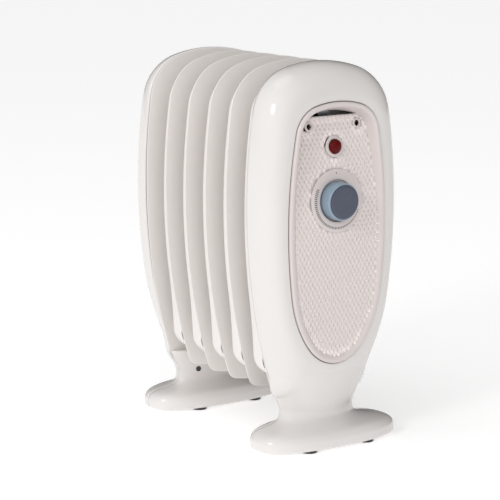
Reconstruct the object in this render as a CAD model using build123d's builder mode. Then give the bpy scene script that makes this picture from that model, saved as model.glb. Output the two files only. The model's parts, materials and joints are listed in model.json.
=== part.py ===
from build123d import *
import os
from math import cos, sin, radians

os.makedirs("parts", exist_ok=True)

# Driving dimensions in mm. +Z is up, the control panel faces -Y, the origin is on the floor.
section_count = 6
section_pitch = 37.8
section_first = -86.6
sheet = 1.2
chamber_depth = 20.0
last_chamber_inset = 4.0
lower_header = 104.0
upper_header = 345.0
header_bore = 17.0
vent_bore = 9.0
filler_bore = 6.0
boss_length = 6.0
front_plane = -123.5
seam_front = -87.0
seam_rear = 104.2
rear_back = 139.5
wall = 2.5
pad_height = 2.5
foot_half_length = 84.5
foot_half_depth = 38.0
foot_front_middle = -101.5
foot_rear_middle = 101.5
neck_in = 15.0
neck_out = 27.0
rim_front = -126.0
grip_edge = 336.5
grip_depth = -114.2
gland_height = 40.0
gland_radius = 6.1
rim_width = 10.0
panel_sheet = 2.5
knob_height = 253.5
knob_radius = 19.5
knob_front = -136.7
lamp_height = 307.7
screw_spread = 20.0
screw_height = 38.5
screw_radius = 1.7
head_radius = 2.9
lead_radius = 1.2
lead_bend = 4.0
panel_screw_spread = 29.8
panel_screw_height = 329.0

section_last = section_first + (section_count - 1) * section_pitch
flange_front = section_first - boss_length - 5
shield_front = section_first - 3.6

# Right half of each egg outline: x and z of the joints between its tangent arcs, top to bottom.
section_points = [(0, 390.5), (42, 384.5), (77.5, 343.5), (77.5, 155.5), (55.7, 62), (45.9, 53.5), (0, 49.5)]
chamber_points = [(0, 379), (38, 374.5), (69, 341), (70.5, 152.5), (64.8, 92), (48.6, 72), (0, 68.1)]
chamber_end_points = [(0, 372), (35, 368), (62, 338), (63.5, 153), (59, 95), (44, 78.5), (0, 75)]
mouth_points = [(0, 391.5), (42, 385.6), (78.6, 344), (78.6, 155.5), (56.8, 61.5), (46.5, 52.5), (0, 48.4)]
front_points = [(0, 356), (27.5, 352.5), (53.5, 325), (58, 156.5), (38, 104.5), (22, 89.5), (0, 83.4)]
back_points = [(0, 350), (27, 346), (50, 320), (54, 160), (36, 108), (21, 93), (0, 87)]
panel_points = [(0, 353.5), (27, 350), (51.5, 323.5), (55.5, 157.5), (36, 107), (20.5, 92.2), (0, 86.4)]


def at_y(y):
    """Plane facing the viewer at one depth, its local x and y along X and Z."""
    return Plane.XZ.offset(-y)


def egg(points, y, inset=0.0):
    """Face bounded by tangent arcs through the points, mirrored, and closed by one bottom arc."""
    corner, bottom = points[-2:]
    with BuildSketch(at_y(y)) as sketch:
        with BuildLine():
            heading = Vector(1, 0)
            for start, end in zip(points, points[1:-1]):
                arc = TangentArc(start, end, tangent=heading)
                heading = arc % 1
            mirror(about=Plane.YZ)
            ThreePointArc(corner, bottom, (-corner[0], corner[1]))
        make_face()
        if inset:
            offset(amount=-inset, mode=Mode.REPLACE)
    return sketch.sketch


def blend(points, other, share):
    """Outline points moved part of the way from one outline to another."""
    return [(a + (c - a) * share, b + (d - b) * share) for (a, b), (c, d) in zip(points, other)]


def dome(outer, inner, y_mouth, y_end, inset, power=2.3):
    """Solid that rounds over from a mouth outline to a smaller end outline."""
    with BuildPart() as body:
        for angle in (0, 24, 46, 68, 90):
            depth = sin(radians(angle)) ** (2 / power)
            share = 1 - cos(radians(angle)) ** (2 / power)
            add(egg(blend(outer, inner, share), y_mouth + (y_end - y_mouth) * depth, inset))
        loft()
    return body.part


def oval(z, half, front, middle, back, power):
    """Level face whose front and back halves are superellipse arcs of their own depth."""
    points = []
    for step in range(24):
        across, along = cos(radians(15 * step)), sin(radians(15 * step))
        reach = back - middle if along > 0 else middle - front
        x = half * abs(across) ** (2 / power) * (1 if across > 0 else -1)
        y = middle + reach * abs(along) ** (2 / power) * (1 if along > 0 else -1)
        points.append((x, y))
    with BuildSketch(Plane.XY.offset(z)) as sketch:
        with BuildLine():
            Spline(*points, periodic=True)
        make_face()
    return sketch.sketch


def leg(middle, neck_front, neck_middle, neck_back, inset):
    """Foot that flares out of a neck, lofted through level ovals."""
    front, back = middle - foot_half_depth, middle + foot_half_depth
    with BuildPart() as body:
        for rise, half, ease, rim, power in (
            (0, foot_half_length - 2.5, 0.0, 2.5, 2.4),
            (3, foot_half_length, 0.0, 0.0, 2.4),
            (9, foot_half_length, 0.0, 0.0, 2.4),
            (14, foot_half_length - 5, 0.06, 0.0, 2.4),
            (19, 68.0, 0.3, 0.0, 2.3),
            (24, 53.5, 0.65, 0.0, 2.2),
            (30, 43.5, 0.93, 0.0, 2.1),
            (37, 41.0, 1.0, 0.0, 2.0),
            (47, 45.0, 1.0, 0.0, 2.0),
            (60, 53.0, 1.0, 0.0, 2.0),
        ):
            lift = inset if rise < 3 else 0.0
            y_front = front + rim + (neck_front - front) * ease + inset
            y_middle = middle + (neck_middle - middle) * ease
            y_back = back - rim + (neck_back - back) * ease - inset
            add(oval(pad_height + rise + lift, half - inset, y_front, y_middle, y_back, power))
        loft()
    return body.part


def slab(y_from, y_to, z_from=-10.0, z_to=420.0):
    """Box wider than the heater that keeps one side of a seam."""
    with BuildPart() as block:
        with BuildSketch(at_y(y_from)):
            with Locations((0, (z_from + z_to) / 2)):
                Rectangle(300, z_to - z_from)
        extrude(amount=-(y_to - y_from))
    return block.part


def rod(x, z, radius, y_from, y_to):
    """Round bar along Y."""
    with BuildPart() as bar:
        with BuildSketch(at_y(y_from)):
            with Locations((x, z)):
                Circle(radius)
        extrude(amount=-(y_to - y_from))
    return bar.part


def tube(x, z, radius, bore, y_from, y_to):
    """Round tube or washer along Y."""
    with BuildPart() as bar:
        with BuildSketch(at_y(y_from)):
            with Locations((x, z)):
                Circle(radius)
                Circle(bore, mode=Mode.SUBTRACT)
        extrude(amount=-(y_to - y_from))
    return bar.part


def box(x_from, x_to, y_from, y_to, z_from, z_to):
    """Block given by its limits."""
    with BuildPart() as block:
        with BuildSketch(at_y(y_from)):
            with Locations(((x_from + x_to) / 2, (z_from + z_to) / 2)):
                Rectangle(x_to - x_from, z_to - z_from)
        extrude(amount=-(y_to - y_from))
    return block.part


def lead(points):
    """Insulated wire along straight runs joined by tangent arcs."""
    with BuildPart() as wire:
        with BuildLine() as path:
            FilletPolyline(*points, radius=lead_bend)
        with BuildSketch(Plane(path.line @ 0, z_dir=path.line % 0)):
            Circle(lead_radius)
        sweep(path=path.line)
    return wire.part


def save(piece, label):
    """Label one finished piece and write it under its node name."""
    piece.label = label
    export_step(piece, f"parts/{label}.step")


def group(label, pieces):
    """Write several separate solids as one node."""
    with BuildPart() as together:
        for piece in pieces:
            add(piece)
    save(together.part, label)


# Radiator sections: a flat steel plate with a pressed oil chamber welded behind it.
for index in range(section_count):
    y = section_first + index * section_pitch
    with BuildPart() as section_plate:
        extrude(egg(section_points, y), amount=-sheet)
        add(rod(0, lower_header, header_bore, y - 1, y + sheet + 1), mode=Mode.SUBTRACT)
        upper_bore = vent_bore if index else filler_bore
        add(rod(0, upper_header, upper_bore, y - 1, y + sheet + 1), mode=Mode.SUBTRACT)
    save(section_plate.part, f"section_plate_{index + 1}")

    chamber_front, chamber_back = y + sheet, y + sheet + chamber_depth
    inset = last_chamber_inset if index == section_count - 1 else 0.0
    inner = dome(chamber_points, chamber_end_points, chamber_front, chamber_back - sheet, inset + sheet, 3.5)
    with BuildPart() as oil_chamber:
        add(dome(chamber_points, chamber_end_points, chamber_front, chamber_back, inset, 3.5))
        add(inner, mode=Mode.SUBTRACT)
        if index < section_count - 1:
            add(rod(0, lower_header, header_bore, chamber_back - 3, chamber_back + 1), mode=Mode.SUBTRACT)
            add(rod(0, upper_header, vent_bore, chamber_back - 3, chamber_back + 1), mode=Mode.SUBTRACT)
    save(oil_chamber.part, f"oil_chamber_{index + 1}")

# Header collars: short tubes that join each chamber to the next plate.
gaps = [section_first + sheet + chamber_depth + index * section_pitch for index in range(section_count - 1)]
gap = section_pitch - sheet - chamber_depth
group("lower_header_collars", [tube(0, lower_header, header_bore + 3, header_bore, y, y + gap) for y in gaps])
group("upper_header_collars", [tube(0, upper_header, vent_bore + 3, vent_bore, y, y + gap) for y in gaps])

# Heating element: a hairpin tube through the lower header, screwed in with its flange.
boss_front = section_first - boss_length
save(tube(0, lower_header, header_bore + 5, header_bore, boss_front, section_first), "header_boss")
save(tube(0, lower_header, header_bore + 5, header_bore, boss_front - 1, boss_front), "element_gasket")

element_spread = 8.0
element_radius = 4.0
element_sides = (-element_spread, element_spread)
with BuildPart() as element_flange:
    with BuildSketch(at_y(flange_front)):
        with Locations((0, lower_header)):
            RegularPolygon(header_bore + 5, 6, major_radius=False)
    extrude(amount=-4)
    add(rod(0, lower_header, header_bore - 0.1, boss_front - 1, section_first))
    for x in element_sides:
        add(rod(x, lower_header, element_radius, flange_front - 1, section_first + 1), mode=Mode.SUBTRACT)
save(element_flange.part, "element_flange")

element_start = flange_front - 4
element_end = section_last + sheet + chamber_depth - 16
with BuildPart() as heating_element:
    with BuildLine() as hairpin:
        out = Line((-element_spread, element_start, lower_header), (-element_spread, element_end, lower_header))
        bend = TangentArc(out @ 1, (element_spread, element_end, lower_header), tangent=(0, 1, 0))
        Line(bend @ 1, (element_spread, element_start, lower_header))
    with BuildSketch(Plane(out @ 0, z_dir=out % 0)):
        Circle(element_radius)
    sweep()
save(heating_element.part, "heating_element")
terminal_tip = element_start - 8
group("element_terminals", [rod(x, lower_header, 1.5, terminal_tip, element_start) for x in element_sides])

# Filler: boss, washer and plug that close the oil circuit at the top.
save(tube(0, upper_header, filler_bore + 4, filler_bore, boss_front, section_first), "filler_boss")
save(tube(0, upper_header, filler_bore + 4, filler_bore, boss_front - 1, boss_front), "filler_washer")
with BuildPart() as filler_plug:
    with BuildSketch(at_y(flange_front)):
        with Locations((0, upper_header)):
            RegularPolygon(filler_bore + 2.5, 6, major_radius=False)
    extrude(amount=-4)
    add(rod(0, upper_header, filler_bore - 0.1, boss_front - 1, section_first))
save(filler_plug.part, "filler_plug")

# Covers: each is a dome over one end of the radiator with half of a leg under it.
screw_places = [(-screw_spread, screw_height), (screw_spread, screw_height)]
front_neck = (seam_front - neck_out, seam_front, seam_front + neck_in)
front_leg = leg(foot_front_middle, *front_neck, 0.0)
front_leg_space = leg(foot_front_middle, *front_neck, wall)
with BuildPart() as front_cover:
    add(dome(mouth_points, front_points, seam_front, front_plane, 0.0))
    add(front_leg & slab(-160, seam_front))
    add(dome(mouth_points, front_points, seam_front, front_plane, wall), mode=Mode.SUBTRACT)
    add(front_leg_space & slab(-160, seam_front), mode=Mode.SUBTRACT)
    extrude(egg(panel_points, front_plane - 2), amount=-8, mode=Mode.SUBTRACT)
    for x, z in screw_places:
        add(tube(x, z, 5, screw_radius, seam_front - 16, seam_front))
save(front_cover.part, "front_cover")

rear_neck = (seam_rear - neck_in, seam_rear, seam_rear + neck_out)
rear_leg = leg(foot_rear_middle, *rear_neck, 0.0)
rear_leg_space = leg(foot_rear_middle, *rear_neck, wall)
with BuildPart() as rear_cover:
    add(dome(mouth_points, back_points, seam_rear, rear_back, 0.0))
    add(rear_leg & slab(seam_rear, 160))
    add(dome(mouth_points, back_points, seam_rear, rear_back - wall, wall), mode=Mode.SUBTRACT)
    add(rear_leg_space & slab(seam_rear, 160), mode=Mode.SUBTRACT)
    for x, z in screw_places:
        add(tube(x, z, 5, screw_radius, seam_rear, seam_rear + 16))
save(rear_cover.part, "rear_cover")

# Inner legs: the halves of each leg that face the radiator, screwed to the covers.
front_leg_top = 47.0
with BuildPart() as front_inner_leg:
    add(front_leg & slab(seam_front, 0, z_to=front_leg_top))
    add(front_leg_space & slab(seam_front, 0, z_to=front_leg_top - wall), mode=Mode.SUBTRACT)
    add(rod(0, gland_height, gland_radius, -85, -60), mode=Mode.SUBTRACT)
    add(box(-12.3, 12.3, seam_front - 1, section_first + 0.2, 34, front_leg_top + 1), mode=Mode.SUBTRACT)
    for x, z in screw_places:
        add(tube(x, z, 5, screw_radius, seam_front, -76))
        add(rod(x, z, 3.3, seam_front + 4, -60), mode=Mode.SUBTRACT)
save(front_inner_leg.part, "front_inner_leg")

rear_leg_top = 62.0
plate_face = section_last - 0.2
with BuildPart() as rear_inner_leg:
    add(rear_leg & slab(0, seam_rear, z_to=front_leg_top))
    add(rear_leg & slab(0, plate_face, z_from=front_leg_top, z_to=rear_leg_top))
    add(rear_leg_space & slab(0, seam_rear, z_to=front_leg_top), mode=Mode.SUBTRACT)
    add(rear_leg_space & slab(0, plate_face, z_from=40, z_to=rear_leg_top - wall), mode=Mode.SUBTRACT)
    for x, z in screw_places:
        add(tube(x, z, 5, screw_radius, 93.5, seam_rear))
        add(rod(x, z, 3.3, 80, seam_rear - 4), mode=Mode.SUBTRACT)
save(rear_inner_leg.part, "rear_inner_leg")

front_screws = []
rear_screws = []
for x, z in screw_places:
    front_head = rod(x, z, head_radius, seam_front + 4, seam_front + 6)
    front_screws.append(front_head + rod(x, z, screw_radius, seam_front - 14, seam_front + 4))
    rear_head = rod(x, z, head_radius, seam_rear - 6, seam_rear - 4)
    rear_screws.append(rear_head + rod(x, z, screw_radius, seam_rear - 4, seam_rear + 14))
group("front_leg_screws", front_screws)
group("rear_leg_screws", rear_screws)

# Leg brackets: steel tabs welded to the end plates inside the legs.
save(box(-12, 12, section_first - 1.5, section_first, 34, 80), "front_leg_bracket")
save(box(-12, 12, section_last - 1.7, section_last, 34, 58), "rear_leg_bracket")

# Rubber pads under the feet.
for label, middle in (("front_foot_pads", foot_front_middle), ("rear_foot_pads", foot_rear_middle)):
    pads = []
    for x in (-36, 36):
        for y in (middle - 26, middle + 26):
            with BuildPart() as pad:
                with BuildSketch(Plane.XY):
                    with Locations((x, y)):
                        Circle(8)
                extrude(amount=pad_height)
                chamfer(pad.edges().group_by(Axis.Z)[0], length=0.6)
            pads.append(pad.part)
    group(label, pads)

# Control panel: a raised rim around a plate that scoops inwards towards the hand grip.
knob_recess = 22.0
recess_floor = -119.0
recess_back = -117.0
lamp_pad = -119.3
opening = extrude(egg(panel_points, rim_front - 1, rim_width), amount=-20)
with BuildPart() as scoop_plate:
    with BuildSketch(Plane.YZ.offset(-60)):
        with BuildLine():
            upright = Line((rim_front, 80), (rim_front + 0.4, 190))
            scoop = TangentArc(upright @ 1, (grip_depth, grip_edge), tangent=upright % 1)
            top = Line(scoop @ 1, (grip_depth + panel_sheet, grip_edge))
            back = Line(top @ 1, (rim_front + panel_sheet + 1, 190))
            foot = Line(back @ 1, (rim_front + panel_sheet, 80))
            Line(foot @ 1, upright @ 0)
        make_face()
    extrude(amount=120)
with BuildPart() as control_panel:
    extrude(egg(panel_points, rim_front, 0.9), amount=-14.5)
    add(opening, mode=Mode.SUBTRACT)
    add(scoop_plate.part & opening)
    add(rod(0, knob_height, knob_recess + 2, recess_floor - 3, recess_back))
    add(rod(0, knob_height, knob_recess, rim_front - 4, recess_floor), mode=Mode.SUBTRACT)
    add(rod(0, knob_height, 4, recess_floor - 1, recess_back + 1), mode=Mode.SUBTRACT)
    add(rod(0, lamp_height, 10.7, lamp_pad, lamp_pad + 4))
    add(rod(0, lamp_height, 6.1, lamp_pad - 1, lamp_pad + 9), mode=Mode.SUBTRACT)
    for x in (-panel_screw_spread, panel_screw_spread):
        add(rod(x, panel_screw_height, 5, -115, -104.5))
        add(rod(x, panel_screw_height, 3.2, -122, -106), mode=Mode.SUBTRACT)
        add(rod(x, panel_screw_height, 1.7, -107, -104), mode=Mode.SUBTRACT)
    for x in (-28, 28):
        add(rod(x, knob_height, 3.5, -122.5, recess_back))
save(control_panel.part, "control_panel")

panel_screws = []
for x in (-panel_screw_spread, panel_screw_spread):
    head = rod(x, panel_screw_height, head_radius, -108, -106)
    panel_screws.append(head + rod(x, panel_screw_height, 1.6, -106, -96))
group("panel_screws", panel_screws)

with BuildPart() as panel_bracket:
    add(box(-36, 36, section_first - 1.2, section_first, 318, 334))
    for side in (-1, 1):
        inner, outer = sorted((side * 34.8, side * 36))
        ear_inner, ear_outer = sorted((side * 24, side * 36))
        add(box(inner, outer, -104.5, section_first, 318, 334))
        add(box(ear_inner, ear_outer, -104.5, -103.3, 318, 334))
        add(rod(side * panel_screw_spread, panel_screw_height, 1.6, -105, -103), mode=Mode.SUBTRACT)
save(panel_bracket.part, "panel_bracket")

# Thermostat, its bracket and spindle, and the knob that turns it.
thermostat_front = recess_back + sheet
with BuildPart() as thermostat_body:
    add(box(-17, 17, thermostat_front, -100, knob_height - 16, knob_height + 16))
    fillet(thermostat_body.edges().filter_by(Axis.Y), radius=3)
    add(rod(0, knob_height, 3.05, thermostat_front - 1, -104), mode=Mode.SUBTRACT)
save(thermostat_body.part, "thermostat_body")
with BuildPart() as thermostat_bracket:
    add(box(-33, 33, recess_back, thermostat_front, knob_height - 10, knob_height + 10))
    add(rod(0, knob_height, 5, recess_back - 1, thermostat_front + 1), mode=Mode.SUBTRACT)
save(thermostat_bracket.part, "thermostat_bracket")
save(rod(0, knob_height, 3, -131, -104.3), "thermostat_spindle")

knob_back = recess_floor - 0.8
cap_seat = knob_front + 3.5
with BuildPart() as knob:
    add(rod(0, knob_height, knob_radius, knob_front + 2, knob_back))
    fillet(knob.faces().sort_by(Axis.Y)[0].edges(), radius=1.5)
    add(rod(0, knob_height, 17, knob_front, cap_seat), mode=Mode.SUBTRACT)
    add(rod(0, knob_height, 3, -131, knob_back + 1), mode=Mode.SUBTRACT)
save(knob.part, "knob")
with BuildPart() as knob_cap:
    add(rod(0, knob_height, 17, knob_front, cap_seat))
    fillet(knob_cap.faces().sort_by(Axis.Y)[0].edges(), radius=1.4)
save(knob_cap.part, "knob_cap")

# Neon lamp: a domed lens pushed through the panel with its body behind.
with BuildPart() as lamp_lens:
    add(rod(0, lamp_height, 7.3, lamp_pad - 3.7, lamp_pad))
    fillet(lamp_lens.faces().sort_by(Axis.Y)[0].edges(), radius=3.4)
    add(rod(0, lamp_height, 6.0, lamp_pad, -112))
save(lamp_lens.part, "lamp_lens")
save(rod(0, lamp_height, 5.5, -112, -100), "lamp_body")

# Heat shield on four studs, carrying the cut-out and the terminal block.
with BuildPart() as heat_shield:
    add(box(-55, 55, shield_front, shield_front + 0.8, 130, 312))
    fillet(heat_shield.edges().filter_by(Axis.Y), radius=12)
save(heat_shield.part, "heat_shield")
studs = [rod(x, z, 3, shield_front + 0.8, section_first) for x in (-45, 45) for z in (142, 300)]
group("shield_studs", studs)
save(rod(-28, 165, 9, shield_front - 8, shield_front), "thermal_cutout")
save(box(12, 40, shield_front - 13, shield_front, 150, 168), "terminal_block")
save(box(46, 54, section_first - 1, section_first, 108, 124), "earth_tag")
save(rod(50, 113, 3, section_first - 3, section_first - 1), "earth_screw")

# Cord gland in the inner leg. The cord itself is supplied with the mains plug and isn't part of this model.
with BuildPart() as cord_gland:
    add(rod(0, gland_height, gland_radius - 0.1, -78, -68))
    add(rod(0, gland_height, 7.6, -71.2, -69.2))
    add(rod(0, gland_height, 3.6, -79, -67), mode=Mode.SUBTRACT)
save(cord_gland.part, "cord_gland")

# Insulated leads.
supply = []
for side in (-1.6, 1.6):
    supply.append(
        lead(
            [
                (side, -74, gland_height),
                (side, -82, gland_height - 0.5),
                (side, -84, 29.5),
                (side, -95, 29.5),
                (8 + side, -99, 52),
                (29 + side, -101, 85),
                (30 + 2 * side, -97, 132),
                (30 + 2 * side, -97, 149.9),
            ]
        )
    )
group("supply_leads", supply)
terminal_row = shield_front - 6
lead_tip = terminal_tip - 0.2
group(
    "control_leads",
    [
        lead([(18, terminal_row, 168.1), (18, terminal_row, 178), (8, -107, 222), (8, -107, 237.4)]),
        lead([(-25, -98.3, 168), (-25, -106, 168), (-24, -107, 186), (-8, -107, 224), (-8, -107, 237.4)]),
        lead(
            [
                (-31, -98.3, 162),
                (-31, -106, 162),
                (-30, -109, 144),
                (-12, -116, 118),
                (-8, -117, lower_header),
                (-8, lead_tip, lower_header),
            ]
        ),
        lead(
            [
                (17, terminal_row, 149.9),
                (17, terminal_row, 139),
                (14, -112, 120),
                (8, -117, lower_header),
                (8, lead_tip, lower_header),
            ]
        ),
    ],
)
lamp_leads = []
for x in (-2.6, 2.6):
    route = [(x, -99.9, lamp_height), (x, -93, lamp_height), (3 * x, -104, 284), (3 * x, -104, 269.6)]
    lamp_leads.append(lead(route))
group("lamp_leads", lamp_leads)
save(
    lead(
        [
            (37, terminal_row, 149.9),
            (37, terminal_row, 138),
            (50, -94.5, 120),
            (50, section_first - 1.1, 120),
        ]
    ),
    "earth_lead",
)
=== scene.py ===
"""Looks of a compact oil filled radiator heater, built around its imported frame.

Sizes are in millimetres inside the classes, and every mesh is written in metres in the frame's own axes:
+Z up, the control panel facing -Y, the origin on the floor.
"""

import json
import logging
import math
from collections.abc import Callable
from dataclasses import dataclass, field
from enum import Enum

import bmesh
import bpy
import numpy as np
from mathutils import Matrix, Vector


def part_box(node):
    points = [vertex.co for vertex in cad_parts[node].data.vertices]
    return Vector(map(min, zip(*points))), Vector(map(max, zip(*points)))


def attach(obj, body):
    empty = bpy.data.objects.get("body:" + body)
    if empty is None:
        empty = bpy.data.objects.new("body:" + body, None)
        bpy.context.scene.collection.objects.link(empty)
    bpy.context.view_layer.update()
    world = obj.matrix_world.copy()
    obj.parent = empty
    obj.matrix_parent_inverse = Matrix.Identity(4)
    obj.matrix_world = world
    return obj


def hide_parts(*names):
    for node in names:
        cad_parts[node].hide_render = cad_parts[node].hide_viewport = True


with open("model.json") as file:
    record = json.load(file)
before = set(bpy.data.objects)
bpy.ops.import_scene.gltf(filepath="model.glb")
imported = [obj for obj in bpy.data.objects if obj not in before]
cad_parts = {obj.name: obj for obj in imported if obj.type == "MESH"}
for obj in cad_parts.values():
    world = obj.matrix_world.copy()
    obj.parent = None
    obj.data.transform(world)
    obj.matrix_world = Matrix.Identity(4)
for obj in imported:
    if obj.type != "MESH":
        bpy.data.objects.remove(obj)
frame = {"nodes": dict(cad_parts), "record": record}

MM = 0.001
BODY = "heater_body"
KNOB_BODY = "thermostat_knob"
EGG_CENTRE = 250.0
CLOUD_SCALE = 9.0
SMEAR_SCALE = 28.0
PEEL_HEIGHT = 0.0004

log = logging.getLogger("heater")
Colour = tuple[float, float, float]
Corner = Callable[[int, int], int]
Within = Callable[[float, float], bool]
Depth = Callable[[float], float]
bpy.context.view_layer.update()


class Side(Enum):
    """The end of the heater that a cover closes, with the way it faces along Y."""

    FRONT = -1
    REAR = 1


# ---------------------------------------------------------------- finishes


@dataclass(frozen=True)
class Finish:
    """A moulded or painted surface with fine orange peel, uneven sheen and a little colour variation."""

    name: str
    colour: Colour
    roughness: float
    metallic: float = 0.0
    coat: float = 0.0
    peel_scale: float = 900.0
    peel_depth: float = 0.03
    sheen_spread: float = 0.06
    tint_spread: float = 0.02
    specular: float = 0.5
    hollow_shade: float = 1.0

    def build(self) -> bpy.types.Material:
        """Make the material, once.

        Returns:
            The node material with this finish's name.
        """
        found = bpy.data.materials.get(self.name)
        if found:
            return found
        material = bpy.data.materials.new(self.name)
        material.use_nodes = True
        tree = material.node_tree
        shader = tree.nodes["Principled BSDF"]
        shader.inputs["Metallic"].default_value = self.metallic
        shader.inputs["Coat Weight"].default_value = self.coat
        shader.inputs["Coat Roughness"].default_value = 0.06
        shader.inputs["Specular IOR Level"].default_value = self.specular
        place = tree.nodes.new("ShaderNodeTexCoord").outputs["Object"]
        self.tint(tree, shader, place)
        self.sheen(tree, shader, place)
        self.relief(tree, shader, place)
        return material

    def tint(self, tree: bpy.types.NodeTree, shader: bpy.types.Node, place: bpy.types.NodeSocket) -> None:
        """Vary the colour slowly over the surface, lighten worn edges and paint shade into the hollows.

        Args:
            tree: node tree of the material.
            shader: its Principled shader.
            place: object coordinates.
        """
        cloud = noise(tree, place, CLOUD_SCALE, 3.0)
        dark = tuple(c * (1 - self.tint_spread) for c in self.colour)
        light = tuple(min(1.0, c * (1 + self.tint_spread)) for c in self.colour)
        body = mix(tree, cloud, dark, light)
        shape = tree.nodes.new("ShaderNodeNewGeometry").outputs["Pointiness"]
        edge = ramp(tree, shape, 0.53, 0.60)
        worn = tuple(min(1.0, c * 1.06 + 0.01) for c in self.colour)
        blend = tree.nodes.new("ShaderNodeMix")
        blend.data_type = "RGBA"
        tree.links.new(edge, blend.inputs[0])
        tree.links.new(body, blend.inputs[6])
        blend.inputs[7].default_value = (*worn, 1)
        # Painted shade: where pointiness is low the colour falls to hollow_shade times the plain colour, so
        # a value below 1.0 paints the hollows dark.
        hollow = tree.nodes.new("ShaderNodeMix")
        hollow.data_type = "RGBA"
        tree.links.new(ramp(tree, shape, 0.38, 0.55), hollow.inputs[0])
        hollow.inputs[6].default_value = (*(c * self.hollow_shade for c in self.colour), 1)
        tree.links.new(blend.outputs[2], hollow.inputs[7])
        tree.links.new(hollow.outputs[2], shader.inputs["Base Color"])

    def sheen(self, tree: bpy.types.NodeTree, shader: bpy.types.Node, place: bpy.types.NodeSocket) -> None:
        """Vary the roughness as handling and dust do.

        Args:
            tree: node tree of the material.
            shader: its Principled shader.
            place: object coordinates.
        """
        smear = noise(tree, place, SMEAR_SCALE, 5.0)
        low = max(0.03, self.roughness - self.sheen_spread)
        high = min(1.0, self.roughness + self.sheen_spread)
        spread = tree.nodes.new("ShaderNodeMapRange")
        tree.links.new(smear, spread.inputs["Value"])
        spread.inputs["From Min"].default_value = 0.3
        spread.inputs["From Max"].default_value = 0.7
        spread.inputs["To Min"].default_value = low
        spread.inputs["To Max"].default_value = high
        tree.links.new(spread.outputs["Result"], shader.inputs["Roughness"])

    def relief(self, tree: bpy.types.NodeTree, shader: bpy.types.Node, place: bpy.types.NodeSocket) -> None:
        """Give the surface its fine orange peel.

        Args:
            tree: node tree of the material.
            shader: its Principled shader.
            place: object coordinates.
        """
        peel = noise(tree, place, self.peel_scale, 2.0)
        bump = tree.nodes.new("ShaderNodeBump")
        bump.inputs["Strength"].default_value = self.peel_depth
        bump.inputs["Distance"].default_value = PEEL_HEIGHT
        tree.links.new(peel, bump.inputs["Height"])
        tree.links.new(bump.outputs["Normal"], shader.inputs["Normal"])


@dataclass(frozen=True)
class Lens(Finish):
    """Translucent coloured plastic that lets some light through."""

    transmission: float = 0.35

    def build(self) -> bpy.types.Material:
        """Make the material with transmission set on the shader's own socket.

        Returns:
            The node material with this finish's name.
        """
        material = super().build()
        shader = material.node_tree.nodes["Principled BSDF"]
        shader.inputs["Transmission Weight"].default_value = self.transmission
        shader.inputs["IOR"].default_value = 1.49
        return material


def noise(
    tree: bpy.types.NodeTree, place: bpy.types.NodeSocket, scale: float, detail: float
) -> bpy.types.NodeSocket:
    """Add a noise texture.

    Args:
        tree: node tree to add to.
        place: coordinates it follows.
        scale: size of its grain, per metre.
        detail: number of finer layers.

    Returns:
        The noise value.
    """
    node = tree.nodes.new("ShaderNodeTexNoise")
    node.inputs["Scale"].default_value = scale
    node.inputs["Detail"].default_value = detail
    tree.links.new(place, node.inputs["Vector"])
    return node.outputs["Fac"]


def mix(
    tree: bpy.types.NodeTree, factor: bpy.types.NodeSocket, first: Colour, second: Colour
) -> bpy.types.NodeSocket:
    """Blend two colours.

    Args:
        tree: node tree to add to.
        factor: share of the second colour.
        first: colour at 0.
        second: colour at 1.

    Returns:
        The blended colour.
    """
    node = tree.nodes.new("ShaderNodeMix")
    node.data_type = "RGBA"
    tree.links.new(factor, node.inputs[0])
    node.inputs[6].default_value = (*first, 1)
    node.inputs[7].default_value = (*second, 1)
    return node.outputs[2]


def ramp(
    tree: bpy.types.NodeTree, value: bpy.types.NodeSocket, low: float, high: float
) -> bpy.types.NodeSocket:
    """Map a value to 0 below one limit and 1 above another.

    Args:
        tree: node tree to add to.
        value: the value to map.
        low: limit that gives 0.
        high: limit that gives 1.

    Returns:
        The mapped value.
    """
    node = tree.nodes.new("ShaderNodeMapRange")
    node.interpolation_type = "SMOOTHSTEP"
    tree.links.new(value, node.inputs["Value"])
    node.inputs["From Min"].default_value = low
    node.inputs["From Max"].default_value = high
    return node.outputs["Result"]


COVER = Finish("cover_gloss", (0.75, 0.72, 0.70), 0.16, coat=0.35, peel_depth=0.02)
ENAMEL = Finish("fin_enamel", (0.80, 0.765, 0.74), 0.34, peel_scale=700.0, peel_depth=0.06)
PANEL = Finish("panel_satin", (0.69, 0.625, 0.61), 0.33, peel_scale=1500.0, peel_depth=0.04)
# Painted light and shade: the pyramid plate is the panel plastic painted lighter than PANEL on its facets
# and much darker in its valleys, standing in for the light and shade on the relief.
PANEL_PYRAMIDS_LIT_AND_SHADED = Finish("panel_pyramids_lit_and_shaded", (0.88, 0.81, 0.79), 0.33, peel_scale=1500.0, hollow_shade=0.14)
KNOB_SIDE = Finish("knob_blue_grey", (0.25, 0.33, 0.41), 0.30, peel_scale=1200.0, peel_depth=0.04)
KNOB_CAP = Finish("cap_slate", (0.07, 0.08, 0.118), 0.38, peel_scale=1600.0, peel_depth=0.08)
LAMP = Lens("lamp_ruby", (0.12, 0.001, 0.0015), 0.25, specular=0.12, transmission=0.1)
PRINT = Finish("scale_print", (0.035, 0.03, 0.03), 0.6, tint_spread=0.1)
RUBBER = Finish("pad_rubber", (0.028, 0.028, 0.030), 0.72, peel_depth=0.25, tint_spread=0.15)
BRASS = Finish("brass_turned", (0.62, 0.42, 0.16), 0.30, metallic=1.0, tint_spread=0.08)
STEEL = Finish("steel_plated", (0.34, 0.34, 0.36), 0.30, metallic=1.0, tint_spread=0.06)
SHEET_STEEL = Finish("steel_zinc_sheet", (0.50, 0.51, 0.52), 0.42, metallic=1.0, tint_spread=0.12)
ALUMINIUM = Finish("aluminium_sheet", (0.72, 0.73, 0.74), 0.34, metallic=1.0, tint_spread=0.05)
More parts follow.
